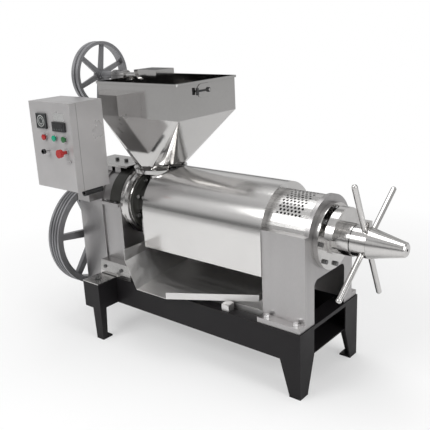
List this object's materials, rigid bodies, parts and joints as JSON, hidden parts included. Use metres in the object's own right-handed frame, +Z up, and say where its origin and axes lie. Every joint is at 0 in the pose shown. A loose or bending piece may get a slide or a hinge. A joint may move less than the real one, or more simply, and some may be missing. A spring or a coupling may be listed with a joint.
{
  "type": "screw oil press",
  "caption": "Stainless screw oil press with hopper, auger feed, covered press cage, oil tray, nose-cone adjuster and control cabinet on a black frame.",
  "frame": {"origin": "on the floor, midway between the two anchor holes of the discharge-end feet; the press screw lies in the plane Y = 0", "axes": "+X along the press screw towards the discharge nose (length), +Z up, -Y is the operator side with the control cabinet"},
  "size_m": [1.887, 0.751, 1.486],
  "materials": {
    "black_paint": "satin",
    "stainless": "brushed",
    "machined_steel": "machined",
    "fastener_steel": "plated",
    "dark_steel": "satin",
    "cast_grey": "satin",
    "cabinet_paint": "satin",
    "plated_bezel": "plated",
    "meter_face": "gloss",
    "red_plastic": "gloss",
    "teal_plastic": "gloss",
    "green_plastic": "gloss",
    "black_plastic": "satin"
  },
  "bodies": {
    "frame": {"barrel_cover": "stainless", "base_frame": "black_paint", "base_pan": "black_paint", "block_plate": "stainless", "block_stud": "fastener_steel", "cabinet_body": "cabinet_paint", "cabinet_bracket": "stainless", "cable_gland": "black_paint", "cap_band": "dark_steel", "discharge_housing": "stainless", "door_hinges": "fastener_steel", "end_flange": "machined_steel", "end_flange_bolts": "fastener_steel", "end_gear_case": "stainless", "feed_chamber": "machined_steel", "feed_disc": "dark_steel", "feed_disc_bolts": "fastener_steel", "feed_saddle": "stainless", "feeder_bearing": "stainless", "feeder_bracket": "stainless", "feeder_case": "stainless", "foot_plates": "black_paint", "gearbox_cap": "stainless", "gearbox_housing": "stainless", "gearbox_sills": "stainless", "hopper": "stainless", "hopper_rim": "stainless", "housing_bolts": "fastener_steel", "inspection_cover": "stainless", "latch_plate": "stainless", "legs": "black_paint", "oil_box": "stainless", "oil_tray": "stainless", "output_flange": "machined_steel", "perforated_guard": "stainless", "portal_bolts": "fastener_steel", "press_cage": "machined_steel", "screw_neck": "machined_steel", "throat_bolts": "fastener_steel"},
    "drive": {"drive_pulley": "cast_grey", "input_shaft": "machined_steel"},
    "screw": {"press_screw": "machined_steel"},
    "feed_drive": {"feed_pulley": "cast_grey", "feed_shaft": "machined_steel"},
    "auger": {"feed_auger": "machined_steel"},
    "sleeve": {"thrust_sleeve": "machined_steel"},
    "adjuster": {"adjuster_hub": "machined_steel", "nose_cone": "machined_steel", "handle_bars": "machined_steel"},
    "door": {"cabinet_door": "cabinet_paint", "meter": "meter_face", "controller": "black_paint", "button_bezels": "plated_bezel"},
    "red_button": {"button_red": "red_plastic"},
    "teal_button": {"button_teal": "teal_plastic"},
    "green_button": {"button_green": "green_plastic"},
    "selector": {"selector_knob": "black_plastic"},
    "stop": {"emergency_stop": "red_plastic"},
    "lock": {"door_lock": "fastener_steel"},
    "latch": {"latch_arm": "black_paint"}
  },
  "joints": [
    {"name": "drive_spin", "type": "hinge", "parent": "frame", "child": "drive", "pos_m": [-1.467, -0.046, 0.44], "axis": [1, 0, 0], "continuous": true},
    {"name": "screw_spin", "type": "hinge", "parent": "frame", "child": "screw", "pos_m": [-0.6, 0, 0.675], "axis": [1, 0, 0], "continuous": true},
    {"name": "feed_spin", "type": "hinge", "parent": "frame", "child": "feed_drive", "pos_m": [-1.354, 0, 1.316], "axis": [1, 0, 0], "continuous": true},
    {"name": "auger_spin", "type": "hinge", "parent": "frame", "child": "auger", "pos_m": [-0.955, 0, 1], "axis": [0, 0, 1], "continuous": true},
    {"name": "sleeve_slide", "type": "slide", "parent": "frame", "child": "sleeve", "axis": [1, 0, 0], "range_m": [0, 0.018]},
    {"name": "adjuster_turn", "type": "hinge", "parent": "sleeve", "child": "adjuster", "pos_m": [0.198, 0, 0.675], "axis": [1, 0, 0], "range_deg": [0, 1080]},
    {"name": "door_swing", "type": "hinge", "parent": "frame", "child": "door", "pos_m": [-1.375, -0.41125, 1.027], "axis": [0, 0, -1], "range_deg": [0, 115]},
    {"name": "red_press", "type": "slide", "parent": "door", "child": "red_button", "axis": [0, 1, 0], "range_m": [0, 0.004], "stiffness_N_per_m": 400},
    {"name": "teal_press", "type": "slide", "parent": "door", "child": "teal_button", "axis": [0, 1, 0], "range_m": [0, 0.004], "stiffness_N_per_m": 400},
    {"name": "green_press", "type": "slide", "parent": "door", "child": "green_button", "axis": [0, 1, 0], "range_m": [0, 0.004], "stiffness_N_per_m": 400},
    {"name": "selector_turn", "type": "hinge", "parent": "door", "child": "selector", "pos_m": [-1.249, -0.45, 1.005], "axis": [0, -1, 0], "range_deg": [-45, 45]},
    {"name": "stop_press", "type": "slide", "parent": "door", "child": "stop", "axis": [0, 1, 0], "range_m": [0, 0.005]},
    {"name": "lock_turn", "type": "hinge", "parent": "door", "child": "lock", "pos_m": [-1.095, -0.45, 0.963], "axis": [0, -1, 0], "range_deg": [0, 90]},
    {"name": "latch_swing", "type": "hinge", "parent": "frame", "child": "latch", "pos_m": [-0.616, 0.002, 1.264], "axis": [1, 0, 0], "range_deg": [0, 90]}
  ],
  "couplings": [
    {"joint": "screw_spin", "follows": "drive_spin", "ratio": -0.23077},
    {"joint": "auger_spin", "follows": "feed_spin", "ratio": 0.33333},
    {"joint": "sleeve_slide", "follows": "adjuster_turn", "m_per_rad": 0.00095493}
  ]
}
